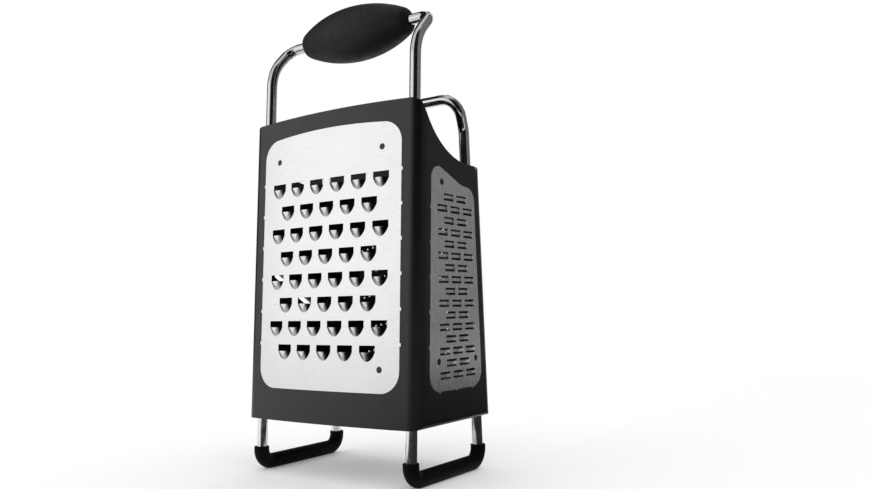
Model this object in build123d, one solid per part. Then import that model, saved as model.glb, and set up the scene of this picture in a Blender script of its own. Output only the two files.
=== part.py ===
from build123d import *

import math
import os

# A free-standing box grater: a moulded body on a frame of bent steel rod, with four blades.
# Lengths are in millimetres. X is the body's width, the coarse side faces -Y, the ribbon side +X,
# the fine side +Y and the slicer side -X. The origin is on the floor, under the middle.
# Heights named here are measured up from the body's lower edge, unless they say floor.

# Body moulding
body_width = 120.0
body_depth = 73.0
front_height = 168.5
front_crown = 1.2
rear_height = 139.3
body_lift = 29.7
lean_share = 0.045
face_bow = 3.2
corner_radius = 7.0
body_wall = 2.4
top_corner_radius = 5.0
foot_corner_radius = 3.0
saddle_inset = 1.8
saddle_run = 42.0

# Rods, their channels and the bends
rod_diameter = 6.0
rod_inset = 7.5
rod_setback = 5.3
rod_gap = 0.05
channel_wall = 1.5
channel_lip_share = 0.8
handle_kick_rise = 34.5
handle_rise = 51.0
handle_bar_offset = 6.5
handle_kick_radius = 26.0
handle_corner_radius = 7.5
bail_kick_rise = 21.7
bail_rise = 39.7
bail_bar_offset = 17.8
bail_kick_radius = 14.0
bail_corner_radius = 11.0

# Rubber feet
foot_diameter = 8.4
foot_collar_reach = 9.2
foot_tread_depth = 0.3
foot_lip = 0.4
foot_socket_floor = 7.5

# Sliding rear panel and the ring frame behind it
panel_height = 140.5
panel_wall = 2.0
panel_wing = 7.5
slide_gap = 0.3
bead_depth = 0.8
bead_width = 1.4
bead_foot = 3.0
post_wall = 1.9
ring_wall = 2.4
ring_sill = 12.0
ring_head = 8.0

# What all four blades share
blade_thickness = 0.5
blade_gap = 0.06
stake_diameter = 3.2
stake_boss_wall = 1.4
nub_width = 1.8
nub_reach = 0.7
nub_pitch = 18.0
nub_foot_count = 3
nub_foot_pitch = 16.2

# Coarse blade
coarse_side_margin = 11.0
coarse_foot = 17.6
coarse_head_margin = 11.5
coarse_crown = 3.0
coarse_corner_radius = 11.5
coarse_stake_inset = 12.0
coarse_rim = 5.5
coarse_window_rim = 2.0
coarse_first_row = 24.9
coarse_foot_band = 20.0
coarse_pitch = 14.6
coarse_row_pitch = 12.9
tooth_width = 10.0
tooth_mouth = 3.5
tooth_length = 4.8
tooth_rise = 2.3

# Ribbon blade
ribbon_margin = 10.0
ribbon_foot = 17.5
ribbon_peak = 137.5
ribbon_step = 126.4
ribbon_step_offset = 9.0
ribbon_foot_radius = 9.0
ribbon_peak_radius = 7.0
ribbon_valley_radius = 25.0
ribbon_shoulder_radius = 7.3
ribbon_shift = 1.5
ribbon_first_row = 118.9
ribbon_foot_band = 5.5
ribbon_pitch = 12.4
ribbon_row_pitch = 6.23
ribbon_slot_width = 9.3
ribbon_slot_height = 1.1
ribbon_strip_height = 1.6
ribbon_strip_rise = 0.8
ribbon_window_rim = 1.0
ribbon_stake_height = 32.9
ribbon_stake_offset = 18.1
ribbon_peak_stake_offset = 11.0
ribbon_peak_stake_height = 126.6

# Fine blade
fine_side_margin = 13.0
fine_foot = 20.0
fine_height = 110.0
fine_crown = 1.5
fine_corner_radius = 9.0
fine_stake_inset = 11.0
fine_field_margin = 14.0
fine_first_row = 19.0
fine_foot_band = 9.0
fine_foot_clear = 4.5
fine_pitch = 4.2
fine_row_pitch = 4.9
fine_row_radius = 116.0
fine_tooth_width = 1.9
fine_tooth_height = 1.5
fine_window_rim = 2.0
fine_stake_clear = 6.0

# Slicer blade and its slot
slicer_half_span = 23.0
slicer_middle = 61.5
slicer_angle = 31.9
slicer_height = 19.2
slicer_thickness = 0.8
slicer_lift = 0.9
slicer_slot = 4.2
slicer_lap = 0.6
slicer_stake_inset = 3.0
slicer_stake_rise = 7.0
slicer_bevel = 0.6

# Grip
grip_length = 76.0
grip_height = 31.5
grip_end_height = 12.5
grip_lip = 1.8
grip_cones = 7
grip_core_length = 58.0
grip_core_wall = 2.5

# One overrun serves every cut that has to pass through
overrun = 20.0

bow_radius = (body_width**2 / 4 + face_bow**2) / (2 * face_bow)
half_width = body_width / 2
lean_angle = math.degrees(math.atan(lean_share))
body_top = front_height + front_crown
rod_radius = rod_diameter / 2
rod_x = half_width - rod_inset
channel_bore = rod_radius + rod_gap
channel_radius = channel_bore + channel_wall
foot_radius = foot_diameter / 2
foot_axis_floor = foot_radius - foot_tread_depth
foot_collar_floor = foot_axis_floor + foot_collar_reach
seam_y = body_depth / 2 - panel_wing
panel_inside = panel_wall + slide_gap
recess_depth = blade_thickness + blade_gap
stake_radius = stake_diameter / 2
stake_boss_radius = stake_radius + stake_boss_wall
half_wall = body_wall / 2
window_depth = 2 * body_wall

left_and_right = (-1, 1)
rear = 1
front = -1


def half_depth(height):
    """Distance from the mid-plane to the line of the body's corners at a height."""
    return body_depth / 2 - lean_share * height


def face_y(x, height, inset=0.0):
    """Distance from the mid-plane to the bowed front or rear face, drawn in by an inset."""
    bow_centre = half_depth(height) + face_bow - bow_radius
    return bow_centre + math.sqrt((bow_radius - inset) ** 2 - x**2)


def plan_outline(inset=0.0, height=0.0):
    """The body's outline in plan at a height: flat sides, bowed front and rear, round corners."""
    x = half_width - inset
    corner = face_y(x, height, inset)
    crown = face_y(0, height, inset)
    rear_arc = ThreePointArc((x, corner), (0, crown), (-x, corner))
    front_arc = ThreePointArc((-x, -corner), (0, -crown), (x, -corner))
    outline = rear_arc + Line(rear_arc @ 1, front_arc @ 0) + front_arc
    outline += Line(front_arc @ 1, rear_arc @ 0)
    face = make_face(outline)
    return fillet(face.vertices(), corner_radius - inset)


def level_slab(low, high):
    """Everything between two heights."""
    size = (2 * body_width, 2 * body_width, high - low)
    return Pos(0, 0, body_lift + low) * Box(*size, align=(Align.CENTER, Align.CENTER, Align.MIN))


def leaning_prism(plan_face, side, low, high):
    """A plan face carried up square to itself along the front or rear wall's lean, with level ends.

    The lean turns about the line of the body's lower corners, so the plan holds true there.
    """
    hinge = side * body_depth / 2
    frame = Pos(0, hinge, body_lift) * Rot(side * lean_angle, 0, 0) * Pos(0, -hinge, low - overrun)
    prism = frame * extrude(plan_face, amount=high - low + 2 * overrun)
    return prism & level_slab(low, high)


def wall_side_prism(side, inset, low, high):
    """All that lies inside the front or rear wall's outer face, drawn in by an inset."""
    x = half_width - inset
    corner = side * face_y(x, 0, inset)
    arc = ThreePointArc((-x, corner), (0, side * face_y(0, 0, inset)), (x, corner))
    outline = arc + Polyline(arc @ 1, (x, -side * body_depth), (-x, -side * body_depth), arc @ 0)
    face = make_face(outline)
    tips = face.vertices().sort_by(Axis.Y)[::side][-2:]
    return leaning_prism(fillet(tips, corner_radius - inset), side, low, high)


def leaning_block(inset, low, high):
    """The solid inside the body's outline, drawn in by an inset, between two heights."""
    return wall_side_prism(front, inset, low, high) & wall_side_prism(rear, inset, low, high)


def ruled_block(inset, low, high):
    """The same solid as one ruled loft, whose faces mesh with few facets round a blade's holes."""
    sections = []
    for height in (low, high):
        sections.append(Pos(0, 0, body_lift + height) * plan_outline(inset, height))
    return loft(sections, ruled=True)


def blade_sheet(outline, side):
    """A bowed blade's sheet, before its holes and teeth."""
    sheet = through_face(outline, side) & ruled_block(0, 0, front_height)
    return sheet - ruled_block(blade_thickness, -overrun, front_height + overrun)


def outer_layer(sketch, side, depth):
    """A sketch in (x, height), cut from the outermost layer of the front or rear wall."""
    layer = through_face(sketch, side) & wall_side_prism(side, 0, 0, body_top)
    return layer - wall_side_prism(side, depth, -overrun, body_top + overrun)


def plan_rectangle(x_low, x_high, y_low, y_high):
    """A rectangle in plan from its four sides."""
    centre = Pos((x_low + x_high) / 2, (y_low + y_high) / 2)
    return centre * Rectangle(x_high - x_low, y_high - y_low)


def wall_plane(x, y, height, outward):
    """A plane on a wall: its z points out of the body and its y points up."""
    across = Vector(0, 0, 1).cross(Vector(outward))
    return Plane(origin=(x, y, body_lift + height), x_dir=across, z_dir=outward)


def face_plane(x, height, side):
    """A plane that touches the bowed, leaning front or rear face."""
    y = face_y(x, height)
    bow_slope = x / (bow_radius - half_depth(height) - face_bow + y)
    outward = Vector(bow_slope, side, lean_share).normalized()
    across = Vector(0, 0, 1).cross(outward).normalized()
    return Plane(origin=(x, side * y, body_lift + height), x_dir=across, z_dir=outward)


def through_face(sketch, side):
    """A sketch in (x, height), carried out of the body through its front or rear face."""
    reach = body_depth / 2 + face_bow + overrun
    middle = Plane(origin=(0, 0, body_lift), x_dir=(1, 0, 0), z_dir=(0, -1, 0))
    return extrude(middle * sketch, amount=-side * reach)


def through_side(sketch, x_low, x_high):
    """A sketch in (y, height), carried across between two places on X."""
    start = Plane(origin=(x_low, 0, body_lift), x_dir=(0, 1, 0), z_dir=(1, 0, 0))
    return extrude(start * sketch, amount=x_high - x_low)


def stakes(places, radius):
    """Round stakes in a blade's own sketch plane."""
    return [Pos(place) * Circle(radius) for place in places]


def edge_nubs(x, low, high, grow):
    """Small squares along an upright edge, where the moulding leaves the blade's edge bare."""
    count = max(int((high - low) / nub_pitch), 1)
    middle = (low + high) / 2
    first = middle - (count - 1) * nub_pitch / 2
    size = (2 * (nub_reach + grow), nub_width + 2 * grow)
    return [Pos(x(first + i * nub_pitch), first + i * nub_pitch) * Rectangle(*size) for i in range(count)]


def row_offsets(count, pitch):
    """Places of a row of copies, centred on zero."""
    return [(i - (count - 1) / 2) * pitch for i in range(count)]


def top_cut():
    """Everything above the body's rim: arched over the front, a hollow curve down the sides."""
    start = -half_depth(front_height) + saddle_inset
    foot = start + saddle_run
    drop = front_height - rear_height
    far = body_depth
    ceiling = front_height + 2 * overrun
    radius = (saddle_run**2 + drop**2) / (2 * drop)
    half_turn = math.atan2(drop, saddle_run)
    middle = (foot - radius * math.sin(half_turn), rear_height + radius * (1 - math.cos(half_turn)))
    curve = ThreePointArc((start, front_height), middle, (foot, rear_height))
    edge = Polyline((-far, body_top), (start, body_top), curve @ 0) + curve
    edge += Polyline(curve @ 1, (far, rear_height), (far, ceiling), (-far, ceiling), (-far, body_top))
    arch_radius = (half_width**2 + front_crown**2) / (2 * front_crown)
    above = Pos(0, body_top) * Rectangle(body_width + overrun, overrun)
    above -= Pos(0, body_top - arch_radius) * Circle(arch_radius)
    sides = through_side(make_face(edge), -half_width - overrun, half_width + overrun)
    return sides + through_face(above, front)


def crowned_plate(half, low, high, crown, radius):
    """An upright plate's outline with round corners and a slightly arched top."""
    arch = ThreePointArc((half, high), (0, high + crown), (-half, high))
    outline = arch + Polyline(arch @ 1, (-half, low), (half, low), arch @ 0)
    return fillet(make_face(outline).vertices(), radius)


def corner_cuts(height):
    """What rounds a wall's upper and lower corners, as they are seen from the front."""
    cuts = Sketch()
    for side in left_and_right:
        for radius, level, up in ((foot_corner_radius, 0, -1), (top_corner_radius, height, 1)):
            centre = Pos(side * (half_width - radius), level - up * radius)
            square = Rectangle(overrun, overrun, align=(Align.MIN, Align.MIN))
            turned = square if side * up > 0 else Rot(0, 0, 90) * square
            turned = Rot(0, 0, 180) * turned if up < 0 else turned
            cuts += centre * (turned - Circle(radius))
    return through_face(cuts, front) + through_face(cuts, rear)


# Coarse blade

coarse_top = front_height - coarse_head_margin
coarse_half_width = half_width - coarse_side_margin
coarse_stakes = [
    (-coarse_half_width + coarse_stake_inset, coarse_top - coarse_stake_inset),
    (coarse_half_width - coarse_stake_inset, coarse_top - coarse_stake_inset),
    (coarse_half_width - coarse_stake_inset, coarse_foot + coarse_stake_inset),
]


def coarse_outline(grow=0.0):
    ends = (coarse_foot - grow, coarse_top + grow)
    plate = crowned_plate(coarse_half_width + grow, *ends, coarse_crown, coarse_corner_radius + grow)
    low = coarse_foot + coarse_corner_radius
    high = coarse_top - coarse_corner_radius
    for side in left_and_right:
        plate += edge_nubs(lambda height: side * coarse_half_width, low, high, grow)
    return plate


def coarse_window():
    """The opening in the moulding behind the toothed field, with room for the stakes' bosses."""
    tops = [top for x, top in coarse_places()]
    low = min(tops) - tooth_mouth - tooth_length
    high = max(tops) + coarse_window_rim
    width = 2 * (coarse_half_width - coarse_rim)
    window = Pos(0, (low + high) / 2) * RectangleRounded(width, high - low, coarse_rim)
    return window - stakes(coarse_stakes, stake_boss_radius)


def coarse_places():
    """Rows of teeth from the top down, turn about full and one short."""
    top = coarse_top - coarse_first_row
    rows = int((top - coarse_foot - coarse_foot_band) / coarse_row_pitch) + 1
    full_row = int((2 * coarse_half_width - tooth_width) / coarse_pitch)
    places = []
    for row in range(rows):
        count = full_row - row % 2
        places += [(x, top - row * coarse_row_pitch) for x in row_offsets(count, coarse_pitch)]
    return places


def coarse_tooth():
    """One scoop: a slanting half-round hood over a mouth, its cutting edge facing up.

    Drawn on the blade's plane, with z out of the blade and the cutting edge along y = 0.
    """
    slant = math.atan2(tooth_rise, tooth_length)
    crest = tooth_rise * math.cos(slant)
    radius = (tooth_width**2 / 4 + crest**2) / (2 * crest)
    down_slope = Plane(origin=(0, 0, 0), x_dir=(1, 0, 0), z_dir=(0, -math.cos(slant), -math.sin(slant)))
    centre = down_slope * Pos(0, crest - radius)
    hood = extrude(centre * Circle(radius), amount=2 * tooth_length, both=True)
    hollow = extrude(centre * Circle(radius - blade_thickness), amount=2 * tooth_length, both=True)
    room = Box(tooth_width, tooth_length, 2 * tooth_rise, align=(Align.CENTER, Align.MAX, Align.MIN))
    hood &= Pos(0, 0, -blade_thickness / 2) * room
    hollow &= Pos(0, 0, -2 * blade_thickness) * room
    mouth_size = (tooth_width, tooth_mouth, 2 * tooth_rise + 2 * blade_thickness)
    mouth = Box(*mouth_size, align=(Align.CENTER, Align.MIN, Align.CENTER))
    return hood, hollow + mouth


def make_coarse_blade():
    outline = coarse_outline() - stakes(coarse_stakes, stake_radius + blade_gap)
    skin = blade_sheet(outline, front)
    hood, cutter = coarse_tooth()
    spots = []
    for x, top in coarse_places():
        spots.append(face_plane(x, top - tooth_mouth, front).location)
    blade = skin + [spot * hood for spot in spots]
    return blade - [spot * cutter for spot in spots]


# Ribbon blade

ribbon_stakes = [
    (ribbon_shift - ribbon_stake_offset, ribbon_stake_height),
    (ribbon_shift + ribbon_stake_offset, ribbon_stake_height),
    (-ribbon_peak_stake_offset, ribbon_peak_stake_height),
]


def ribbon_edge(height):
    """Half the ribbon blade's width: its edges follow the leaning corners."""
    return half_depth(height) - ribbon_margin


def ribbon_outline(grow=0.0):
    corners = [
        (-ribbon_edge(ribbon_foot) - grow, ribbon_foot - grow),
        (ribbon_edge(ribbon_foot) + grow, ribbon_foot - grow),
        (ribbon_edge(ribbon_step) + grow, ribbon_step + grow),
        (ribbon_step_offset, ribbon_step + grow),
        (-ribbon_edge(ribbon_peak) - grow, ribbon_peak + grow),
    ]
    radii = [
        ribbon_foot_radius + grow,
        ribbon_foot_radius + grow,
        ribbon_shoulder_radius + grow,
        ribbon_valley_radius - grow,
        ribbon_peak_radius + grow,
    ]
    plate = make_face(FilletPolyline(*corners, radius=radii, close=True))
    low = ribbon_foot + ribbon_foot_radius
    plate += edge_nubs(lambda height: -ribbon_edge(height), low, ribbon_step, grow)
    for y in row_offsets(nub_foot_count, nub_foot_pitch):
        plate += Pos(y, ribbon_foot) * Rectangle(nub_width + 2 * grow, 2 * (nub_reach + grow))
    return plate


def ribbon_places():
    """Rows of bridges from the top down, turn about two and three."""
    pair_height = 2 * ribbon_slot_height + ribbon_strip_height
    field = ribbon_first_row - ribbon_foot - ribbon_foot_band - pair_height / 2
    rows = int(field / ribbon_row_pitch) + 1
    places = []
    for row in range(rows):
        height = ribbon_first_row - row * ribbon_row_pitch
        places += [(ribbon_shift + y, height) for y in row_offsets(2 + row % 2, ribbon_pitch)]
    return places


def ribbon_window():
    """The opening in the moulding behind the slots, with room for the stakes' bosses."""
    places = ribbon_places()
    reach = ribbon_slot_width / 2 + ribbon_window_rim
    rise = ribbon_slot_height + ribbon_strip_height / 2 + ribbon_window_rim
    y_low = min(place[0] for place in places) - reach
    y_high = max(place[0] for place in places) + reach
    low = min(place[1] for place in places) - rise
    high = max(place[1] for place in places) + rise
    return plan_rectangle(y_low, y_high, low, high) - stakes(ribbon_stakes, stake_boss_radius)


def ribbon_bridge():
    """One arched strip standing out over its window, drawn with z out of the blade."""
    chord = ribbon_slot_width + blade_thickness
    radius = (chord**2 / 4 + ribbon_strip_rise**2) / (2 * ribbon_strip_rise)
    section = Plane(origin=(0, 0, 0), x_dir=(1, 0, 0), z_dir=(0, -1, 0))
    centre = Pos(0, ribbon_strip_rise - radius)
    ring = centre * Circle(radius) - centre * Circle(radius - blade_thickness)
    crop = Rectangle(chord, ribbon_strip_rise + blade_thickness, align=(Align.CENTER, Align.MIN))
    arch = ring & (Pos(0, -blade_thickness) * crop)
    strip = extrude(section * arch, amount=ribbon_strip_height / 2, both=True)
    opening = (ribbon_slot_width, 2 * ribbon_slot_height + ribbon_strip_height, 4 * blade_thickness)
    return strip, Box(*opening)


def make_ribbon_blade():
    outline = ribbon_outline() - stakes(ribbon_stakes, stake_radius + blade_gap)
    blade = through_side(outline, half_width - blade_thickness, half_width)
    strip, opening = ribbon_bridge()
    spots = []
    for y, height in ribbon_places():
        spots.append(wall_plane(half_width, y, height, (1, 0, 0)).location)
    blade -= [spot * opening for spot in spots]
    return blade + [spot * strip for spot in spots]


# Fine blade

fine_top = fine_foot + fine_height
fine_half_width = half_width - fine_side_margin
fine_half_span = fine_half_width - fine_field_margin
fine_stakes = [
    (-fine_half_width + fine_stake_inset, fine_top - fine_stake_inset),
    (fine_half_width - fine_stake_inset, fine_top - fine_stake_inset),
    (-fine_half_width + fine_stake_inset, fine_foot + fine_stake_inset),
]


def fine_outline(grow=0.0):
    ends = (fine_foot - grow, fine_top + grow)
    return crowned_plate(fine_half_width + grow, *ends, fine_crown, fine_corner_radius + grow)


def fine_places():
    """Arched rows of small teeth: place on the blade and turn along the row."""
    crown = fine_top - fine_first_row
    rows = int((crown - fine_foot - fine_foot_band) / fine_row_pitch) + 1
    full_row = int(2 * fine_half_span / fine_pitch) + 1
    places = []
    for row in range(rows):
        for along in row_offsets(full_row - row % 2, fine_pitch):
            turn = along / fine_row_radius
            x = fine_row_radius * math.sin(turn)
            drop = fine_row_radius * (1 - math.cos(turn))
            height = crown - row * fine_row_pitch - drop
            clear = min(math.dist((x, height), stake) for stake in fine_stakes)
            if clear > fine_stake_clear and height > fine_foot + fine_foot_clear:
                places.append((x, height, math.degrees(turn)))
    return places


def fine_window():
    """The opening in the panel behind the teeth, with room for the stakes' bosses."""
    places = fine_places()
    low = min(place[1] for place in places) - fine_tooth_height / 2 - fine_window_rim
    high = max(place[1] for place in places) + fine_tooth_height / 2 + fine_window_rim
    width = 2 * (fine_half_span + fine_window_rim)
    window = Pos(0, (low + high) / 2) * Rectangle(width, high - low)
    return window - stakes(fine_stakes, stake_boss_radius)


def make_fine_blade():
    outline = fine_outline() - stakes(fine_stakes, stake_radius + blade_gap)
    blade = blade_sheet(outline, rear)
    flank = math.hypot(fine_tooth_width / 2, fine_tooth_height)
    tooth_outline = Triangle(a=fine_tooth_width, b=flank, c=flank)
    tooth = extrude(tooth_outline, amount=2 * blade_thickness, both=True)
    holes = []
    for x, height, turn in fine_places():
        holes.append(face_plane(x, height, rear).location * Rot(0, 0, turn) * tooth)
    return blade - holes


# Slicer blade

slicer_slope = math.tan(math.radians(slicer_angle))
slicer_stakes = [
    (side * (slicer_half_span - slicer_stake_inset),
     slicer_middle - slicer_height / 2 + slicer_stake_rise
     - side * (slicer_half_span - slicer_stake_inset) * slicer_slope)
    for side in left_and_right
]


def slicer_band(low, high, grow=0.0):
    """A slanted band in (y, height) between two heights taken at mid-length."""
    span = slicer_half_span + grow
    rise = span * slicer_slope
    corners = [(-span, low + rise), (span, low - rise), (span, high - rise), (-span, high + rise)]
    return make_face(Polyline(*corners, close=True))


def slicer_slab(depth, thickness):
    """A tilted slab whose outer face rises from the wall's face to the lifted cutting edge."""
    low = slicer_middle - slicer_height / 2
    lean = math.degrees(math.atan2(slicer_lift, slicer_height * math.cos(math.radians(slicer_angle))))
    hinge = Pos(-half_width, 0, body_lift + low) * Rot(-slicer_angle, 0, 0) * Rot(0, -lean, 0)
    size = (thickness, 2 * body_depth, 2 * body_depth)
    return hinge * Pos(depth, 0, 0) * Box(*size, align=(Align.MIN, Align.CENTER, Align.CENTER))


def make_slicer_blade():
    band = slicer_band(slicer_middle - slicer_height / 2, slicer_middle + slicer_height / 2)
    band -= stakes(slicer_stakes, stake_radius + blade_gap)
    blade = through_side(band, -half_width - overrun, 0) & slicer_slab(0, slicer_thickness)
    edge = blade.edges().filter_by(Axis.X, reverse=True).sort_by(Axis((0, 0, 0), (0, slicer_slope, 1)))
    outer = sorted(edge[-2:], key=lambda line: line.center().X)
    return chamfer(outer[0], slicer_bevel)


# Mouldings


def stake_columns(places, side):
    """Stakes that fill a bowed blade's locating holes, flush with its face."""
    return outer_layer(Sketch() + stakes(places, stake_radius), side, half_wall)


def bowed_recess(outline, side):
    """The pocket that a bowed blade lies in."""
    inside = wall_side_prism(side, recess_depth, -overrun, body_top + overrun)
    return through_face(outline, side) - inside


def front_channel():
    """The plan of a front rod channel, filled out into the body's corner."""
    rod_y = body_depth / 2 - rod_setback
    channel = Pos(rod_x, -rod_y) * Circle(channel_radius)
    channel += plan_rectangle(rod_x, half_width, -body_depth, -rod_y)
    return channel & plan_outline(half_wall)


def rear_channel():
    """Half the rear ring frame in plan: a rod channel, its post and the groove for the panel."""
    rod_y = body_depth / 2 - rod_setback
    post_outer = half_width - panel_inside
    inside = plan_outline(panel_inside)
    channel = Pos(rod_x, rod_y) * Circle(channel_radius)
    channel += plan_rectangle(rod_x, post_outer, seam_y - post_wall, rod_y)
    channel += plan_rectangle(rod_x, half_width - half_wall, seam_y - post_wall, seam_y)
    channel &= plan_rectangle(0, half_width, 0, rod_y + channel_lip_share * channel_bore)
    channel &= inside + plan_rectangle(0, half_width, 0, seam_y)
    channel -= Pos(rod_x, rod_y) * Circle(channel_bore)
    return channel


def bead_groove(gap):
    """The panel's bead in plan, or the groove that it runs in, with the gap added."""
    x_high = half_width - panel_wall + gap
    x_low = half_width - panel_wall - bead_depth - gap
    return plan_rectangle(x_low, x_high, seam_y - gap, seam_y + slide_gap + bead_width + gap)


def both_sides(part):
    return part + mirror(part, about=Plane.YZ)


def make_body_shell():
    body = leaning_block(0, 0, body_top)
    body -= leaning_block(body_wall, -overrun, body_top + overrun)
    beyond = plan_rectangle(-body_width, body_width, seam_y, body_depth)
    body -= leaning_prism(beyond, rear, -overrun, front_height + overrun)

    front_rod = Pos(rod_x, -(body_depth / 2 - rod_setback))
    body += both_sides(leaning_prism(front_channel(), front, 0, body_top))
    bore = leaning_prism(front_rod * Circle(channel_bore), front, -overrun, front_height + overrun)
    body -= both_sides(bore)
    body += both_sides(leaning_prism(rear_channel(), rear, 0, rear_height))
    ring_outline = plan_outline(panel_inside) - plan_outline(panel_inside + ring_wall)
    ring_outline &= plan_rectangle(-rod_x, rod_x, seam_y, body_depth)
    for side in left_and_right:
        ring_outline -= Pos(side * rod_x, body_depth / 2 - rod_setback) * Circle(channel_bore)
    body += leaning_prism(ring_outline, rear, 0, ring_sill)
    body += leaning_prism(ring_outline, rear, rear_height - ring_head, rear_height)
    groove = leaning_prism(bead_groove(slide_gap), rear, bead_foot - slide_gap, rear_height + overrun)
    body -= both_sides(groove)

    body -= bowed_recess(coarse_outline(blade_gap), front)
    body -= through_face(coarse_window(), front)
    body += stake_columns(coarse_stakes, front)
    body -= through_side(ribbon_outline(blade_gap), half_width - recess_depth, half_width + overrun)
    body -= through_side(ribbon_window(), half_width - window_depth, half_width + overrun)
    columns = Sketch() + stakes(ribbon_stakes, stake_radius)
    body += through_side(columns, half_width - half_wall, half_width)

    pocket_band = slicer_band(
        slicer_middle - slicer_height / 2 - blade_gap, slicer_middle + slicer_height / 2, blade_gap
    )
    body -= through_side(pocket_band, -half_width - overrun, 0) & slicer_slab(
        slicer_thickness + blade_gap - overrun, overrun
    )
    edge_height = slicer_middle + slicer_height / 2
    slot_band = slicer_band(edge_height - slicer_lap, edge_height + slicer_slot)
    body -= through_side(slot_band, -half_width - overrun, -half_width + window_depth)
    columns = Sketch() + stakes(slicer_stakes, stake_radius)
    posts = through_side(columns, -half_width - overrun, -half_width + half_wall)
    body += posts & slicer_slab(0, overrun)
    return body - top_cut() - corner_cuts(front_height)


def make_fine_panel():
    wall_outline = plan_outline() - plan_outline(panel_wall)
    wall_outline &= plan_rectangle(-body_width, body_width, seam_y + slide_gap, body_depth)
    panel = leaning_prism(wall_outline, rear, 0, panel_height)
    bead = bead_groove(0) & plan_rectangle(0, half_width, seam_y + slide_gap, body_depth)
    panel += both_sides(leaning_prism(bead, rear, bead_foot, panel_height - top_corner_radius))
    panel -= bowed_recess(fine_outline(blade_gap), rear)
    panel -= through_face(fine_window(), rear)
    panel += stake_columns(fine_stakes, rear)
    return panel - corner_cuts(panel_height)


# Rods, feet and grip


def rod_y_at(floor_height):
    """Distance of a leg's axis from the mid-plane at a height above the floor."""
    return half_depth(floor_height - body_lift) - rod_setback


def bent_rod(points, radii, diameter):
    """A round bar along straight runs joined by tangent bends."""
    path = FilletPolyline(*points, radius=radii) if radii else Line(*points)
    section = Plane(origin=path @ 0, z_dir=path % 0) * Circle(diameter / 2)
    return sweep(section, path=path)


def hoop_points(side, kick_floor, bar_floor, bar_offset):
    """Half a hoop's corners, from a leg's end in its foot up to the bar."""
    return [
        (rod_x, side * rod_y_at(foot_socket_floor), foot_socket_floor),
        (rod_x, side * rod_y_at(kick_floor), kick_floor),
        (rod_x, side * bar_offset, bar_floor),
    ]


def make_hoop(side, kick_floor, bar_floor, bar_offset, kick_radius, bend_radius):
    half = hoop_points(side, kick_floor, bar_floor, bar_offset)
    other_half = [(-x, y, z) for x, y, z in reversed(half)]
    return bent_rod(half + other_half, [kick_radius, bend_radius, bend_radius, kick_radius], rod_diameter)


handle_bar_floor = body_lift + front_height + handle_rise


def make_handle_hoop():
    kick_floor = body_lift + front_height + handle_kick_rise
    bends = (handle_kick_radius, handle_corner_radius)
    return make_hoop(front, kick_floor, handle_bar_floor, handle_bar_offset, *bends)


def make_bail_hoop():
    kick_floor = body_lift + rear_height + bail_kick_rise
    bar_floor = body_lift + rear_height + bail_rise
    return make_hoop(rear, kick_floor, bar_floor, bail_bar_offset, bail_kick_radius, bail_corner_radius)


def leg_bar(where, side, low, high, diameter):
    """A round bar on a leg's axis between two heights above the floor."""
    ends = [(where * rod_x, side * rod_y_at(height), height) for height in (low, high)]
    return bent_rod(ends, [], diameter)


def make_foot(where):
    """A rubber bar with a turned-up collar at each end, cut to a flat tread below."""
    middle = Pos(where * rod_x, 0, foot_axis_floor)
    corner_y = rod_y_at(foot_axis_floor)
    foot = middle * Cylinder(foot_radius, 2 * corner_y, rotation=(90, 0, 0))
    for side in (front, rear):
        foot += Pos(where * rod_x, side * corner_y, foot_axis_floor) * Sphere(foot_radius)
        collar = leg_bar(where, side, foot_axis_floor, foot_collar_floor, foot_diameter)
        foot += chamfer(collar.edges().sort_by(Axis.Z)[-1], foot_lip)
    for side in (front, rear):
        foot -= leg_bar(where, side, foot_socket_floor, body_lift, rod_diameter + 2 * rod_gap)
    floor = Box(body_width, 2 * body_depth, overrun, align=(Align.CENTER, Align.CENTER, Align.MAX))
    return foot - Pos(where * rod_x, 0, 0) * floor


grip_centre = Pos(0, -handle_bar_offset, handle_bar_floor)


def make_grip_core():
    core = Cylinder(channel_bore + grip_core_wall, grip_core_length, rotation=(0, 90, 0))
    return grip_centre * (core - Cylinder(channel_bore, grip_length, rotation=(0, 90, 0)))


def make_grip_cover():
    """A lens turned about the bar as a run of short cones, hollow for the core and the bar."""
    half = grip_length / 2
    belly = ThreePointArc((-half, grip_end_height / 2), (0, grip_height / 2), (half, grip_end_height / 2))
    stations = [belly @ (i / grip_cones) for i in range(grip_cones + 1)]
    profile = make_face(Polyline(*stations, (half, 0), (-half, 0), close=True))
    ends = [corner for corner in profile.vertices() if abs(corner.X) > half - grip_lip and corner.Y > 0]
    cover = revolve(chamfer(ends, grip_lip), axis=Axis.X)
    room = channel_bore + grip_core_wall + rod_gap
    cover -= Cylinder(room, grip_core_length + 2 * rod_gap, rotation=(0, 90, 0))
    return grip_centre * (cover - Cylinder(channel_bore, 2 * grip_length, rotation=(0, 90, 0)))


def main():
    os.makedirs("parts", exist_ok=True)
    pieces = {
        "body_shell": make_body_shell(),
        "fine_panel": make_fine_panel(),
        "coarse_blade": make_coarse_blade(),
        "ribbon_blade": make_ribbon_blade(),
        "fine_blade": make_fine_blade(),
        "slicer_blade": make_slicer_blade(),
        "handle_hoop": make_handle_hoop(),
        "bail_hoop": make_bail_hoop(),
        "left_foot": make_foot(-1),
        "right_foot": make_foot(1),
        "grip_core": make_grip_core(),
        "grip_cover": make_grip_cover(),
    }
    for name, piece in pieces.items():
        export_step(piece, f"parts/{name}.step")


main()
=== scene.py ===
# %% [markdown]
# # A box grater in Blender
# The grater comes from its construction model as ready meshes, one for each real piece, in metres.
# They are the fixed frame: they stay where they are, and this lesson gives them their finishes,
# adds the pieces whose curves deserve smoother modelling, and sets up a small photo studio.

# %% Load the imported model
import math

import bpy
from mathutils import Matrix, Vector


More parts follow.
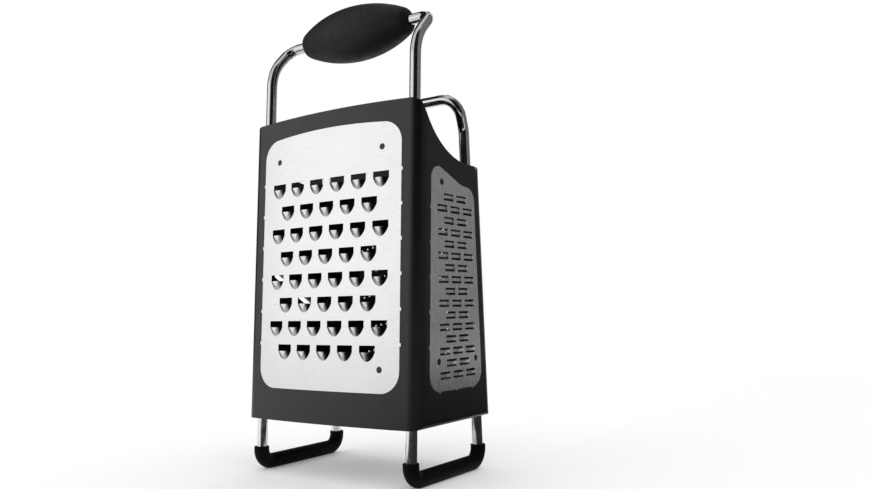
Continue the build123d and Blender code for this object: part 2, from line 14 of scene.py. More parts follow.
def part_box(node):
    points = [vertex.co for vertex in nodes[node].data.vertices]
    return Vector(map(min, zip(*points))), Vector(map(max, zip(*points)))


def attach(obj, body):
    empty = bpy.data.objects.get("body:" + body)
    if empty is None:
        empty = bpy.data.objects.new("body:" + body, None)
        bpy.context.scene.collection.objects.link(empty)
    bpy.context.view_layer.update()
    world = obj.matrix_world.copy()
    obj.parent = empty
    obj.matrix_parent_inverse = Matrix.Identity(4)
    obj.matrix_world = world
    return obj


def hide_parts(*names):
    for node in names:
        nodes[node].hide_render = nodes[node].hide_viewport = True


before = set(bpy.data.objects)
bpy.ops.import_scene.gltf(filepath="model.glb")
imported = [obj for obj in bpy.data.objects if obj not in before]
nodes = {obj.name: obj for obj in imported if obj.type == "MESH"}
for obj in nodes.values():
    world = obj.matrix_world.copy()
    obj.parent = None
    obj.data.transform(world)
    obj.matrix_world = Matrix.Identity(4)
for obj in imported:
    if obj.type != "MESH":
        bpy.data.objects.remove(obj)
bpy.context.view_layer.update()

print("nodes:", sorted(nodes))

# %% [markdown]
# ## Colours, nodes and materials
# Colours are written as the hex values that a screen shows. Blender's shaders want linear light,
# so one function turns them. Another adds a shader node with its settings and links in one line,
# which keeps each finish readable as a short recipe. The last two start a material, and give it
# to a piece of the construction model, whose mesh stays as it is.

# %% Colour, node and material helpers
MM = 0.001


def linear(hex_colour):
    """An sRGB hex colour as linear RGBA."""
    channels = [int(hex_colour[i:i + 2], 16) / 255 for i in (1, 3, 5)]
    return [c / 12.92 if c <= 0.04045 else ((c + 0.055) / 1.055) ** 2.4 for c in channels] + [1.0]


def add_node(tree, kind, settings=(), inputs=()):
    """A shader node with its settings, and values or links on its inputs."""
    node = tree.nodes.new(kind)
    for name, value in dict(settings).items():
        setattr(node, name, value)
    for name, value in dict(inputs).items():
        if isinstance(value, bpy.types.NodeSocket):
            tree.links.new(value, node.inputs[name])
        else:
            node.inputs[name].default_value = value
    return node


def new_finish(name, **sockets):
    """A material with one Principled shader, whose constant sockets are set here."""
    material = bpy.data.materials.new(name)
    material.use_nodes = True
    shader = material.node_tree.nodes["Principled BSDF"]
    for socket, value in sockets.items():
        shader.inputs[socket.replace("_", " ")].default_value = value
    return material, material.node_tree, shader


def wear(node_name, material):
    """Gives a CAD node a finish without touching its mesh."""
    slots = nodes[node_name].data.materials
    slots.clear()
    slots.append(material)
    print(node_name, "wears", material.name)


print("mid grey #808080 is", round(linear("#808080")[0], 3), "in linear light")

# %% [markdown]
# ## Grain, cloud, gloss and relief
# No real surface has one flat colour or one gloss. Each finish here gets its unevenness from noise
# on the object's own coordinates, so the pattern stays with the piece, and the noise's cells are
# always given in millimetres. One helper makes the noise. Three more use it: for a colour that
# drifts, for a gloss that varies, and for a shallow relief. The relief can also round the sharp
# edges of the mesh as the light sees them, the way a moulded or rolled edge is round in life.

# %% Helpers for uneven surfaces
NOISE_LOW, NOISE_HIGH = 0.3, 0.7  # the part of a noise's range that a gloss is spread over
EDGE_SAMPLES = 4
MIX_FACTOR, MIX_FIRST, MIX_SECOND, MIX_COLOUR = 0, 6, 7, 2  # a colour Mix node's sockets


def grain(tree, cell_mm, detail=3.0, stretch=(1, 1, 1)):
    """Noise whose cells are cell_mm across, on the object's own coordinates."""
    place = add_node(tree, "ShaderNodeTexCoord").outputs["Object"]
    scaled = add_node(tree, "ShaderNodeMapping", inputs={"Vector": place, "Scale": stretch})
    size = {"Vector": scaled.outputs["Vector"], "Scale": 1 / (cell_mm * MM), "Detail": detail}
    return add_node(tree, "ShaderNodeTexNoise", inputs=size).outputs["Fac"]


def cloud(tree, cell_mm, dark, light, detail=3.0):
    """A colour that drifts between two hex values, in patches cell_mm across."""
    ends = {MIX_FACTOR: grain(tree, cell_mm, detail),
            MIX_FIRST: linear(dark), MIX_SECOND: linear(light)}
    return add_node(tree, "ShaderNodeMix", {"data_type": "RGBA"}, ends).outputs[MIX_COLOUR]


def uneven_gloss(tree, shader, noise, low, high):
    """A roughness that follows a noise between two values."""
    ends = {"Value": noise, "From Min": NOISE_LOW, "From Max": NOISE_HIGH,
            "To Min": low, "To Max": high}
    rough = add_node(tree, "ShaderNodeMapRange", inputs=ends).outputs["Result"]
    tree.links.new(rough, shader.inputs["Roughness"])


def relief(tree, shader, noise, depth_mm, strength, edge_mm=0.0):
    """Relief from a noise, over edges softened to a small radius."""
    bump = add_node(tree, "ShaderNodeBump",
                    inputs={"Height": noise, "Distance": depth_mm * MM, "Strength": strength})
    if edge_mm:
        edges = add_node(tree, "ShaderNodeBevel",
                         {"samples": EDGE_SAMPLES}, {"Radius": edge_mm * MM})
        tree.links.new(edges.outputs["Normal"], bump.inputs["Normal"])
    tree.links.new(bump.outputs["Normal"], shader.inputs["Normal"])


print("a gloss follows its noise from", NOISE_LOW, "to", NOISE_HIGH)

# %% [markdown]
# ## Moulded ABS
# The body and the sliding rear panel are injection-moulded ABS, black all through. The steel mould
# was spark-eroded, which leaves a fine satin grain: it spreads highlights softly and greys the
# black a little where the light strikes. The grain is about 0.3 mm in life; it is drawn at 0.5 mm
# so that it shows. Every moulded edge has a small radius, so the shader rounds the edges it sees.

# %% Black moulded ABS
abs_black, tree, shader = new_finish("moulded_abs_black", IOR=1.54, Specular_IOR_Level=0.38)
tree.links.new(cloud(tree, cell_mm=28.0, dark="#060607", light="#0a0a0b", detail=2.0),
               shader.inputs["Base Color"])
uneven_gloss(tree, shader, grain(tree, cell_mm=6.0), low=0.30, high=0.38)
relief(tree, shader, grain(tree, cell_mm=0.5, detail=4.0),
       depth_mm=0.02, strength=0.35, edge_mm=0.45)
for name in ("body_shell", "fine_panel"):
    wear(name, abs_black)

# %% [markdown]
# ## Painted shade where the steel leans
# The blades are thin sheet. Where a tooth or a bridge leans out of the sheet, and on the sheet's
# back, the colour turns to a darker grey: this is painted shade. A painted mask could mark those
# places, but the surface's own slope already tells them apart: its normal is compared with the
# direction that the whole blade faces.

# %% The slope of a blade's surface


def slope(tree, facing, flat, steep):
    """0 where the surface faces a direction squarely, 1 where it leans well away from it."""
    normal = add_node(tree, "ShaderNodeNewGeometry").outputs["True Normal"]
    facing_share = add_node(tree, "ShaderNodeVectorMath", {"operation": "DOT_PRODUCT"},
                            {0: normal, 1: facing}).outputs["Value"]
    ends = {"Value": facing_share, "From Min": flat, "From Max": steep}
    return add_node(tree, "ShaderNodeMapRange", inputs=ends).outputs["Result"]


for degrees in (15, 30, 60):
    share = round(math.cos(math.radians(degrees)), 2)
    print(degrees, "degrees of lean leave a facing share of", share)

# %% [markdown]
# ## The coarse teeth's painted highlights
# Each coarse tooth is a hood whose upper rim is the cutting edge. In the middle, just under that
# edge, a bright three-cornered highlight that points down is painted, and round it the hood keeps
# its painted shade. Modelling 44 creased hoods would only serve this glint, so the shader draws
# it. From a point's height it works out how far down its row the point is, and from its place
# across, how far aside of its tooth. Every second row is shifted by half a tooth.

# %% Painted highlights on the coarse teeth
TOOTH_TOP = 158.3 * MM  # the top row's cutting edges, above the floor
TOOTH_ROW = 12.9 * MM  # from one row to the next
TOOTH_PITCH = 14.6 * MM  # from one tooth to the next
# The painted highlight under each cutting edge:
HIGHLIGHT_HALF_WIDTH = 0.165  # at the cutting edge, in tooth pitches
HIGHLIGHT_TAPER = -0.62  # how the half width changes down one whole row
HIGHLIGHT_BORDER = 0.04  # a soft border, in tooth pitches


def outside_highlight_share(tree):
    """1 on a coarse tooth except for the painted three-cornered highlight under its cutting edge.
    """
    place = add_node(tree, "ShaderNodeTexCoord").outputs["Object"]
    axes = add_node(tree, "ShaderNodeSeparateXYZ", inputs={"Vector": place}).outputs
    down = add_node(tree, "ShaderNodeMath", {"operation": "MULTIPLY_ADD"},
                    {0: axes["Z"], 1: -1 / TOOTH_ROW, 2: TOOTH_TOP / TOOTH_ROW}).outputs[0]
    row = add_node(tree, "ShaderNodeMath", {"operation": "FLOOR"}, {0: down}).outputs[0]
    shift = add_node(tree, "ShaderNodeMath", {"operation": "MULTIPLY"}, {0: row, 1: 0.5}).outputs[0]
    along = add_node(tree, "ShaderNodeMath", {"operation": "MULTIPLY_ADD"},
                     {0: axes["X"], 1: 1 / TOOTH_PITCH, 2: shift}).outputs[0]
    column = add_node(tree, "ShaderNodeMath", {"operation": "FRACT"}, {0: along}).outputs[0]
    offset = add_node(tree, "ShaderNodeMath", {"operation": "SUBTRACT"},
                      {0: column, 1: 0.5}).outputs[0]
    aside = add_node(tree, "ShaderNodeMath", {"operation": "ABSOLUTE"}, {0: offset}).outputs[0]
    below = add_node(tree, "ShaderNodeMath", {"operation": "FRACT"}, {0: down}).outputs[0]
    border = add_node(tree, "ShaderNodeMath", {"operation": "MULTIPLY_ADD"},
                      {0: below, 1: HIGHLIGHT_TAPER, 2: HIGHLIGHT_HALF_WIDTH}).outputs[0]
    inside = add_node(tree, "ShaderNodeMath", {"operation": "SUBTRACT"},
                      {0: border, 1: aside}).outputs[0]
    ends = {"Value": inside, "From Min": 0.0, "From Max": HIGHLIGHT_BORDER, "To Min": 1.0, "To Max": 0.0}
    return add_node(tree, "ShaderNodeMapRange", inputs=ends).outputs["Result"]


# The flat printed here is the painted highlight under each cutting edge
print("each flat is", round(2 * HIGHLIGHT_HALF_WIDTH * TOOTH_PITCH / MM, 1), "mm wide and",
      round(-HIGHLIGHT_HALF_WIDTH / HIGHLIGHT_TAPER * TOOTH_ROW / MM, 1), "mm tall")

# %% [markdown]
# ## Brushed stainless blades
# The four blades are stainless sheet, brushed across the two wide plates, up the ribbon plate and
# along the slicer. A brushed sheet mirrors its surroundings as long soft streaks: noise drawn out
# along the brushing gives them, both in roughness and in a very shallow relief. The brush lines
# are about 0.1 mm apart in life and are drawn at 0.35 mm.

# %% Brushed stainless sheet
BRUSH_MM = 0.35
SHEET_CLOUD_MM = 18.0
ACROSS, UPWARD, ALONG_EDGE = (0.02, 1, 1), (1, 1, 0.02), (1, 0.03, 1)
# the colour of the painted highlight on the coarse teeth
PAINTED_HIGHLIGHT = "#fafafb"


def brushed_steel(name, sheet, brush, gloss, facing, lean, painted_shade, painted_highlights=False):
    """Two-grey sheet steel, with painted shade where it leans and, if asked, painted highlights."""
    material, tree, shader = new_finish(name, Metallic=1.0)
    streaks = grain(tree, BRUSH_MM, stretch=brush)
    colour = cloud(tree, SHEET_CLOUD_MM, *sheet)
    painted_shade_share = slope(tree, facing, *lean)
    # painted highlights: a bright three-cornered mark on each coarse tooth, with no painted shade
    # under it
    if painted_highlights:
        outside_highlight = outside_highlight_share(tree)
        highlight_mask = add_node(tree, "ShaderNodeMath", {"operation": "SUBTRACT"},
                          {0: 1.0, 1: outside_highlight}).outputs[0]
        painted_highlight_share = add_node(tree, "ShaderNodeMath", {"operation": "MULTIPLY"},
                         {0: painted_shade_share, 1: highlight_mask}).outputs[0]
        colour = add_node(tree, "ShaderNodeMix", {"data_type": "RGBA"},
                          {MIX_FACTOR: painted_highlight_share, MIX_FIRST: colour,
                           MIX_SECOND: linear(PAINTED_HIGHLIGHT)}).outputs[MIX_COLOUR]
        painted_shade_share = add_node(tree, "ShaderNodeMath", {"operation": "MULTIPLY"},
                          {0: painted_shade_share, 1: outside_highlight}).outputs[0]
    # painted shade: a darker grey where the surface leans away from the blade's facing
    colour = add_node(tree, "ShaderNodeMix", {"data_type": "RGBA"},
                      {MIX_FACTOR: painted_shade_share, MIX_FIRST: colour,
                       MIX_SECOND: linear(painted_shade)}).outputs[MIX_COLOUR]
    tree.links.new(colour, shader.inputs["Base Color"])
    uneven_gloss(tree, shader, streaks, *gloss)
    relief(tree, shader, streaks, depth_mm=0.006, strength=0.25, edge_mm=0.12)
    return material


# The last grey of each blade is painted shade where its surface leans; the coarse one also gets
# painted highlights
coarse_steel = brushed_steel(
    "brushed_stainless_coarse", sheet=("#cbcbcc", "#d2d2d3"), brush=ACROSS, gloss=(0.24, 0.34),
    facing=(0, -1, 0), lean=(0.96, 0.85), painted_shade="#444446", painted_highlights=True)
fine_steel = brushed_steel(
    "brushed_stainless_fine", sheet=("#e2e2e3", "#ebebec"), brush=ACROSS, gloss=(0.24, 0.34),
    facing=(0, 1, 0), lean=(0.93, 0.60), painted_shade="#4e4e50")
ribbon_steel = brushed_steel(
    "brushed_stainless_ribbon", sheet=("#d2d2d3", "#dadadb"), brush=UPWARD, gloss=(0.22, 0.30),
    facing=(1, 0, 0), lean=(0.80, 0.20), painted_shade="#3c3c3e")
ground_steel = brushed_steel(
    "ground_stainless_knife", sheet=("#bcbcbd", "#c8c8c9"), brush=ALONG_EDGE, gloss=(0.20, 0.30),
    facing=(-1, 0, 0), lean=(0.50, 0.0), painted_shade="#3c3c3e")
for name, material in (("coarse_blade", coarse_steel), ("fine_blade", fine_steel),
                       ("ribbon_blade", ribbon_steel), ("slicer_blade", ground_steel)):
    wear(name, material)

# %% [markdown]
# ## Polished rod
# The frame is 6 mm stainless rod, drawn and then tumbled bright. It mirrors the room, slightly
# blurred, with faint scratches that run at random. The legs below the body get the palest grey,
# the hoops above a darker one; the height above the floor mixes the two.

# %% Polished stainless rod
LEG_LEVEL, HOOP_LEVEL = 0.03, 0.06  # the legs' grey up to the first, the hoops' from the second
LEG_GREY = "#dcdcde"

rod_steel, tree, shader = new_finish("polished_stainless_rod", Metallic=1.0)
place = add_node(tree, "ShaderNodeTexCoord").outputs["Object"]
height = add_node(tree, "ShaderNodeSeparateXYZ", inputs={"Vector": place}).outputs["Z"]
above_legs = add_node(tree, "ShaderNodeMapRange", inputs={
    "Value": height, "From Min": LEG_LEVEL, "From Max": HOOP_LEVEL}).outputs["Result"]
hoop_grey = cloud(tree, cell_mm=12.0, dark="#b2b2b4", light="#bebec0")
rod_grey = add_node(tree, "ShaderNodeMix", {"data_type": "RGBA"}, {
    MIX_FACTOR: above_legs, MIX_FIRST: linear(LEG_GREY), MIX_SECOND: hoop_grey})
tree.links.new(rod_grey.outputs[MIX_COLOUR], shader.inputs["Base Color"])
uneven_gloss(tree, shader, grain(tree, cell_mm=3.0), low=0.07, high=0.13)
relief(tree, shader, grain(tree, cell_mm=0.9), depth_mm=0.004, strength=0.15)
for name in ("handle_hoop", "bail_hoop"):
    wear(name, rod_steel)

# %% [markdown]
# ## Rubber
# The feet are moulded rubber and the grip a soft thermoplastic rubber. Both are matt black with a
# very fine orange-peel skin; the grip is the glossier of the two. The hard sleeve inside the grip
# gets a dark grey of the same kind.

# %% Matt black rubber


def matt_rubber(name, dark, light, peel_mm, shine):
    """Rubber whose colour drifts between two blacks, under a fine orange-peel skin."""
    material, tree, shader = new_finish(name, IOR=1.52, Specular_IOR_Level=shine)
    tree.links.new(cloud(tree, 15.0, dark, light), shader.inputs["Base Color"])
    uneven_gloss(tree, shader, grain(tree, cell_mm=4.0), low=0.52, high=0.66)
    relief(tree, shader, grain(tree, peel_mm, detail=4.0), depth_mm=0.03, strength=0.4, edge_mm=0.4)
    return material


foot_rubber = matt_rubber("moulded_rubber_foot", "#060607", "#0a0a0b", peel_mm=0.6, shine=0.07)
grip_rubber = matt_rubber("soft_grip_rubber", "#0b0b0c", "#101011", peel_mm=0.7, shine=0.30)
core_plastic = matt_rubber("grip_core_nylon", "#2a2a2a", "#303030", peel_mm=0.5, shine=0.30)
for name, material in (("left_foot", foot_rubber), ("right_foot", foot_rubber),
                       ("grip_cover", grip_rubber), ("grip_core", core_plastic)):
    wear(name, material)

# %% [markdown]
# ## Finishing a new piece
# A piece that is modelled here needs the same closing steps each time. Its place, turn and scale go
# into its mesh, so that its object sits at the origin; it is shaded smooth except over sharp edges;
# it gets its material and is tied to the body that it moves with; and if it stands for a node of
# the construction model, that node is hidden.

# %% The closing steps
SHARP_EDGE = math.radians(40)


def finish_piece(piece, material, body, node=None):
    """Puts a piece's place in its mesh, smooths it, ties it to its body and hides its node."""
    bpy.ops.object.transform_apply(location=True, rotation=True, scale=True)
    bpy.ops.object.shade_smooth_by_angle(angle=SHARP_EDGE)
    piece.data.materials.clear()
    piece.data.materials.append(material)
    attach(piece, body)
    if node:
        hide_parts(node)
    print(piece.name, "faces", len(piece.data.polygons),
          "size mm", [round(d / MM, 2) for d in piece.dimensions])


print("edges sharper than", round(math.degrees(SHARP_EDGE)), "degrees stay sharp")

# %% [markdown]
# ## The grip's outline
# The real grip is a soft rubber lens, moulded round the handle bar: widest in the middle, with
# small round shoulders where the bar comes out. It could be a spun profile or a squashed sphere.
# Here its radius is worked out along the bar, from one real arc and the shoulders' rounding, which
# keeps both the length and the belly exact.

# %% Outline of the lens grip
END_RADIUS = 6.25 * MM
SHOULDER = 2.6 * MM

grip_low, grip_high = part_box("grip_cover")
grip_middle = (Vector(grip_low) + Vector(grip_high)) / 2
grip_half = (grip_high[0] - grip_low[0]) / 2
belly = (grip_high[2] - grip_low[2]) / 2
arc = (grip_half**2 + (belly - END_RADIUS) ** 2) / (2 * (belly - END_RADIUS))


def grip_radius(x):
    """The lens's radius at a place along the bar, rounded off at its two ends."""
    depth = max(SHOULDER - (grip_half - abs(x)), 0)
    return belly - arc + math.sqrt(arc**2 - x**2) - SHOULDER + math.sqrt(SHOULDER**2 - depth**2)


print("grip radius mm", round(grip_radius(0) / MM, 2), "in the middle and",
      round(grip_radius(grip_half) / MM, 2), "at its ends")

# %% [markdown]
# ## The grip
# A circle is added at one end of the grip and extruded along the bar in short steps, closer
# together near the ends, where the outline turns fastest. After each step the new ring is resized
# to the outline. The first and the last ring stay as the two closed end faces.

# %% Soft lens grip
RINGS = 44
GRIP_SIDES = 64

stations = [-grip_half * math.cos(math.pi * i / RINGS) for i in range(RINGS + 1)]
bpy.ops.object.select_all(action="DESELECT")
start = grip_middle + Vector((stations[0], 0, 0))
bpy.ops.mesh.primitive_circle_add(
    vertices=GRIP_SIDES, radius=grip_radius(stations[0]), fill_type="NGON",
    location=start, rotation=(0, math.pi / 2, 0))
grip = bpy.context.object
grip.name = "soft_grip"
bpy.ops.object.mode_set(mode="EDIT")
for before, after in zip(stations, stations[1:]):
    bpy.ops.mesh.extrude_region_move(TRANSFORM_OT_translate={"value": (after - before, 0, 0)})
    growth = grip_radius(after) / grip_radius(before)
    bpy.ops.transform.resize(
        value=(1, growth, growth), center_override=grip_middle + Vector((after, 0, 0)))
bpy.ops.mesh.select_all(action="SELECT")
bpy.ops.mesh.normals_make_consistent(inside=False)
bpy.ops.object.mode_set(mode="OBJECT")
finish_piece(grip, grip_rubber, "grater", "grip_cover")

# %% [markdown]
# ## The feet
# Each foot is one rubber bar with both ends turned up round the steel legs. On the real one the
# corners are bends, so the section is drawn as a circle at a collar's top, extruded down, spun
# round the corner and extruded to the middle; a mirror makes the other half. A cut at the floor
# leaves the flat tread that it stands on, and a small bevel rounds the rims.

# %% Rubber feet
FOOT_RADIUS = 4.2 * MM
FOOT_AXIS = 3.9 * MM  # the bar's axis above the floor
BEND = 7.5 * MM
BEND_STEPS = 12
FOOT_SIDES = 40
RIM_RADIUS, RIM_SEGMENTS, RIM_ANGLE = 0.45 * MM, 3, math.radians(50)
SAME_POINT = 0.001 * MM

foot_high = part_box("right_foot")[1]
collar_top = foot_high[2]
run_end = foot_high[1] - FOOT_RADIUS
for node, side in (("right_foot", 1), ("left_foot", -1)):
    bpy.ops.object.select_all(action="DESELECT")
    where = Vector((side * (foot_high[0] - FOOT_RADIUS), run_end, collar_top))
    bpy.ops.mesh.primitive_circle_add(
        vertices=FOOT_SIDES, radius=FOOT_RADIUS, fill_type="NGON", location=where)
    foot = bpy.context.object
    foot.name = node + "_bar"
    bpy.ops.object.mode_set(mode="EDIT")
    to_bend = (0, 0, FOOT_AXIS + BEND - collar_top)
    bpy.ops.mesh.extrude_region_move(TRANSFORM_OT_translate={"value": to_bend})
    hub = (where.x, run_end - BEND, FOOT_AXIS + BEND)
    bpy.ops.mesh.spin(steps=BEND_STEPS, angle=math.pi / 2, center=hub, axis=(1, 0, 0))
    bpy.ops.mesh.extrude_region_move(TRANSFORM_OT_translate={"value": (0, BEND - run_end, 0)})
    bpy.ops.mesh.delete(type="ONLY_FACE")
    bpy.ops.object.mode_set(mode="OBJECT")
    bpy.ops.object.transform_apply(location=True, rotation=True, scale=True)
    mirror = foot.modifiers.new("other_half", "MIRROR")
    mirror.use_axis = (False, True, False)
    mirror.use_mirror_merge = True
    bpy.ops.object.modifier_apply(modifier="other_half")
    bpy.ops.object.mode_set(mode="EDIT")
    bpy.ops.mesh.select_all(action="SELECT")
    bpy.ops.mesh.remove_doubles(threshold=SAME_POINT)
    bpy.ops.mesh.normals_make_consistent(inside=False)
    bpy.ops.mesh.bisect(
        plane_co=(0, 0, 0), plane_no=(0, 0, -1), clear_outer=True, use_fill=True,
        threshold=SAME_POINT)
    bpy.ops.object.mode_set(mode="OBJECT")
    rim = foot.modifiers.new("soft_rim", "BEVEL")
    rim.width = RIM_RADIUS
    rim.segments = RIM_SEGMENTS
    rim.limit_method = "ANGLE"
    rim.angle_limit = RIM_ANGLE
    bpy.ops.object.modifier_apply(modifier="soft_rim")
    finish_piece(foot, foot_rubber, "grater", node)

# %% [markdown]
# ## Where the fine teeth are
# The fine blade's holes stand in arched rows, one below the other, and every second row is shifted
# by half a tooth. No hole comes near a stake or the plate's foot. The holes are in the sheet
# already, so their places are worked out again here, from the same measures, to put a pressed-up
# point at each.

# %% Places of the fine teeth, in millimetres
TOP_ROW = 111.0  # the middle of the top row; heights are above the body's lower edge
LOWEST_ROW = 29.0  # no row's middle is below this
LOWEST_TOOTH = 24.5  # the rows' ends droop below their middle, down to here
TOOTH_GAP, ROW_GAP = 4.2, 4.9
ARCH_RADIUS = 116.0
HALF_SPAN = 33.0
STAKES, STAKE_CLEARANCE = ((-36.0, 119.0), (36.0, 119.0), (-36.0, 31.0)), 6.0


def fine_places():
    """Each tooth's place in millimetres, and its turn along the arch."""
    rows = int((TOP_ROW - LOWEST_ROW) / ROW_GAP) + 1
    full_row = int(2 * HALF_SPAN / TOOTH_GAP) + 1
    for row in range(rows):
        count = full_row - row % 2
        for i in range(count):
            turn = (i - (count - 1) / 2) * TOOTH_GAP / ARCH_RADIUS
            x = ARCH_RADIUS * math.sin(turn)
            height = TOP_ROW - row * ROW_GAP - ARCH_RADIUS * (1 - math.cos(turn))
            clearance = min(math.dist((x, height), stake) for stake in STAKES)
            if clearance > STAKE_CLEARANCE and height > LOWEST_TOOTH:
                yield x, height, turn


print("fine teeth:", len(list(fine_places())))

# %% [markdown]
# ## The fine teeth's points
# Each hole's lower lip is pressed up into a tiny point, under a millimetre high. Such a point is
# one three-sided cone with its tip pushed over towards the hole. It is modelled once and copied to
# every hole, each copy square to the leaning and bowed wall there, and the copies are joined.

# %% Pressed points of the fine blade
POINT_RADIUS, POINT_HEIGHT = 1.0 * MM, 0.65 * MM
TIP_SHIFT = 0.55 * MM
POINT_LIFT, POINT_DROP = 0.22 * MM, 0.75 * MM  # out of the sheet, and down from the hole's middle
BODY_LIFT = 29.7  # the body's lower edge above the floor, in millimetres as the rest here
HALF_DEPTH, LEAN = 36.5, 0.045  # the wall's corners at their foot, and their lean for each mm up
BOW_RADIUS, BOW_RISE = 564.1, 3.2  # the wall's bow, and how far its middle stands out

bpy.ops.object.select_all(action="DESELECT")
bpy.ops.mesh.primitive_cone_add(
    vertices=3, radius1=POINT_RADIUS, radius2=0, depth=POINT_HEIGHT, location=(0, 0, 0))
point = bpy.context.object
point.name = "fine_points"
bpy.ops.object.mode_set(mode="EDIT")
bpy.ops.mesh.select_all(action="DESELECT")
bpy.ops.object.mode_set(mode="OBJECT")
for vertex in point.data.vertices:
    vertex.select = vertex.co.z > 0
bpy.ops.object.mode_set(mode="EDIT")
bpy.ops.transform.translate(value=(0, TIP_SHIFT, 0))
bpy.ops.object.mode_set(mode="OBJECT")
copies = []
for x, height, turn in fine_places():
    bow = BOW_RISE - BOW_RADIUS + math.sqrt(BOW_RADIUS**2 - x**2)
    spot = Vector((x, HALF_DEPTH - LEAN * height + bow, BODY_LIFT + height)) * MM
    outward = Vector((x / BOW_RADIUS, 1, LEAN)).normalized()
    across = Vector((0, 0, 1)).cross(outward).normalized()
    uphill = outward.cross(across)
    axes = Matrix((across, uphill, outward)).transposed().to_4x4()
    move = Matrix.Translation(spot + outward * POINT_LIFT - uphill * POINT_DROP)
    copy = point.copy()
    copy.data = point.data.copy()
    copy.matrix_world = move @ axes @ Matrix.Rotation(turn, 4, "Z")
    bpy.context.collection.objects.link(copy)
    copies.append(copy)
bpy.data.objects.remove(point)
bpy.ops.object.select_all(action="DESELECT")
for copy in copies:
    copy.select_set(True)
bpy.context.view_layer.objects.active = copies[0]
bpy.ops.object.join()
points = bpy.context.object
points.name = "fine_points"
finish_piece(points, fine_steel, "panel")

# %% [markdown]
# ## The floor
# The grater stands on a white floor in a white room. Lit only by the room, the floor would come
# out a little grey, so it glows slightly. Only the camera and reflections see the glow: it adds no
# soft light to the object, and the object's shadow on the floor stays.

# %% White floor
FLOOR_SIDE = 30
FLOOR_GLOW = 0.12


def stage_plane(name, size, location, turn, colour):
    """A matt painted plane of the studio, which isn't part of the grater."""
    bpy.ops.object.select_all(action="DESELECT")
    bpy.ops.mesh.primitive_plane_add(size=1, location=location, rotation=turn)
    plane = bpy.context.object
    plane.name = name
    plane.scale = (*size, 1)
    bpy.ops.object.transform_apply(location=True, rotation=True, scale=True)
    paint = new_finish(name + "_paint", Base_Color=linear(colour), Roughness=0.9)[0]
    plane.data.materials.append(paint)
    return plane


floor = stage_plane("studio_floor", (FLOOR_SIDE, FLOOR_SIDE), (0, 0, 0), (0, 0, 0), "#f7f7f7")
tree = floor.data.materials[0].node_tree
rays = add_node(tree, "ShaderNodeLightPath").outputs
seen = rays["Is Camera Ray"]
for ray in ("Is Glossy Ray", "Is Transmission Ray"):
    seen = add_node(tree, "ShaderNodeMath", {"operation": "MAXIMUM"},
                    {0: seen, 1: rays[ray]}).outputs[0]
glow = add_node(tree, "ShaderNodeMath", {"operation": "MULTIPLY"},
                {0: seen, 1: FLOOR_GLOW}).outputs[0]
shader = tree.nodes["Principled BSDF"]
shader.inputs["Emission Color"].default_value = linear("#ffffff")
tree.links.new(glow, shader.inputs["Emission Strength"])
print("floor size m", [round(side) for side in floor.dimensions[:2]])

# %% [markdown]
# ## The cards
# In a room that is white all round, bright metal has no dark edges and black plastic looks grey.
# A photographer stands cards where the surfaces mirror them. The grey one gives the ribbon plate
# its middle grey. The wide dark ones keep the walls and the rounded front corner black, and the
# narrow ones draw dark lines down the rods. Two more lie on the floor, for what mirrors the
# ground. Only reflections show the cards: the camera, the soft light and the shadows pass them.

# %% Standing and lying cards
# Each card: its bearing round the grater in degrees, distance, width and lower edge in metres,
# and its grey
cards = (
    ("ribbon_side", 118, 0.62, 0.95, 0.03, "#8e8e8e"),
    ("rear_right", 163, 0.80, 0.22, 0.03, "#060606"),
    ("front_right", 42, 0.95, 1.50, 0.10, "#0c0c0c"),
    ("slicer_side", -104, 0.70, 0.80, 0.03, "#1a1a1a"),
    ("rear_left", -158, 0.80, 0.20, 0.03, "#060606"),
)
CARD_HEIGHT = 2.4

placed = []
for side, bearing, distance, width, lower_edge, grey in cards:
    angle = math.radians(bearing)
    where = (distance * math.sin(angle), -distance * math.cos(angle), lower_edge + CARD_HEIGHT / 2)
    stood_up = (math.pi / 2, 0, angle)
    placed.append(stage_plane(side + "_card", (width, CARD_HEIGHT), where, stood_up, grey))
for side, size, where, grey in (
        ("right_floor", (0.80, 1.5), (0.465, 0, 0.001), "#1a1a1a"),
        ("front_floor", (0.50, 0.55), (0.21, -0.325, 0.002), "#101010")):
    placed.append(stage_plane(side + "_card", size, where, (0, 0, 0), grey))
for card in placed:
    card.visible_camera = False
    card.visible_diffuse = False
    card.visible_shadow = False
print("cards:", [card.name for card in placed])

# %% [markdown]
# ## The far flag, a sheet of painted shade
# Through the top row's mouths the camera looks over the low rear wall and out of the grater. Those
# mouths are black in the photograph, so a dark flag of painted shade stands far away in that
# direction, where the grater's inside would lie in shade. It covers no more than the body hides
# from this camera, so its picture shows the flag nowhere else.

# %% Far dark flag
FLAG_BEARING = math.radians(40.05)
FLAG_AWAY = 80.0
FLAG_HEIGHT = 12.98
FLAG_SIZE = (8.5, 2.7)
FLAG_FROM = (0.29, -0.36)  # about where the camera stands

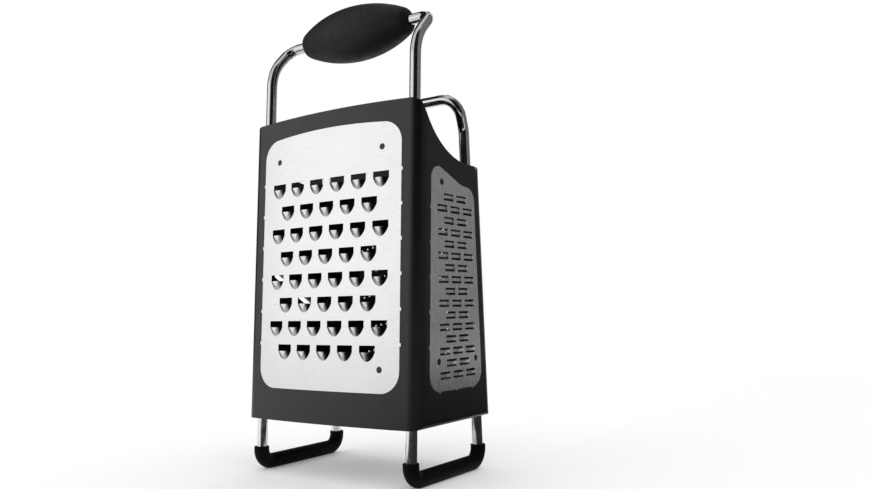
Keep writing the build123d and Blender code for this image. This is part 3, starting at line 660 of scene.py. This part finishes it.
flag_place = (FLAG_FROM[0] - FLAG_AWAY * math.sin(FLAG_BEARING),
              FLAG_FROM[1] + FLAG_AWAY * math.cos(FLAG_BEARING), FLAG_HEIGHT)
# a dark sheet of painted shade, seen only through the top mouths
stage_plane("far_shade_flag", FLAG_SIZE, flag_place, (math.pi / 2, 0, FLAG_BEARING), "#020202")
print("far flag at", [round(v, 1) for v in flag_place])

# %% [markdown]
# ## The light
# The room itself is the main light: a white world, so that a colour renders about as it is written.
# One large dim lamp, low on the left in front, gives the round forms a soft highlight.

# %% World and lamp
world = bpy.data.worlds.new("white_room")
bpy.context.scene.world = world
world.use_nodes = True
background = world.node_tree.nodes["Background"]
background.inputs["Color"].default_value = linear("#ffffff")
background.inputs["Strength"].default_value = 1.0

bpy.ops.object.light_add(type="AREA", location=(-0.76, -0.98, 0.45))
lamp = bpy.context.object
lamp.name = "soft_key"
lamp.data.shape = "RECTANGLE"
lamp.data.size = 1.0
lamp.data.size_y = 0.8
lamp.data.energy = 1.3
lamp_aim = Vector((0, 0, 0.12))
lamp.rotation_euler = (lamp_aim - lamp.location).to_track_quat("-Z", "Y").to_euler()
print("lamp", lamp.data.energy, "W at", [round(v, 2) for v in lamp.location])

# %% [markdown]
# ## The camera
# The photograph was taken from in front and to the right, from a third of the grater's height,
# with a short lens: the grater's uprights spread towards its base. Place, yaw, pitch and roll were
# fitted to its corners, and so was the small shift that frames it.

# %% Camera
camera_place = Vector((0.288428, -0.357449, 0.090585))
yaw, pitch, roll = 0.594, 0.060, -0.018
ahead = Vector((-math.sin(yaw) * math.cos(pitch), math.cos(yaw) * math.cos(pitch), math.sin(pitch)))
level = Vector((math.cos(yaw), math.sin(yaw), 0))
upright = level.cross(ahead)
right = level * math.cos(roll) + upright * math.sin(roll)
up = upright * math.cos(roll) - level * math.sin(roll)
axes = Matrix((right, up, -ahead)).transposed().to_4x4()
camera_data = bpy.data.cameras.new("portrait_camera")
camera = bpy.data.objects.new("portrait_camera", camera_data)
bpy.context.collection.objects.link(camera)
camera.matrix_world = Matrix.Translation(camera_place) @ axes
camera_data.sensor_width = 36.0
camera_data.lens = 32.94
camera_data.shift_x = 0.0006
camera_data.shift_y = 0.0171
camera_data.clip_start = 0.01
bpy.context.scene.camera = camera
bpy.context.scene.view_settings.view_transform = "Standard"
print("camera", round(camera_place.length, 3), "m from the grater's foot")
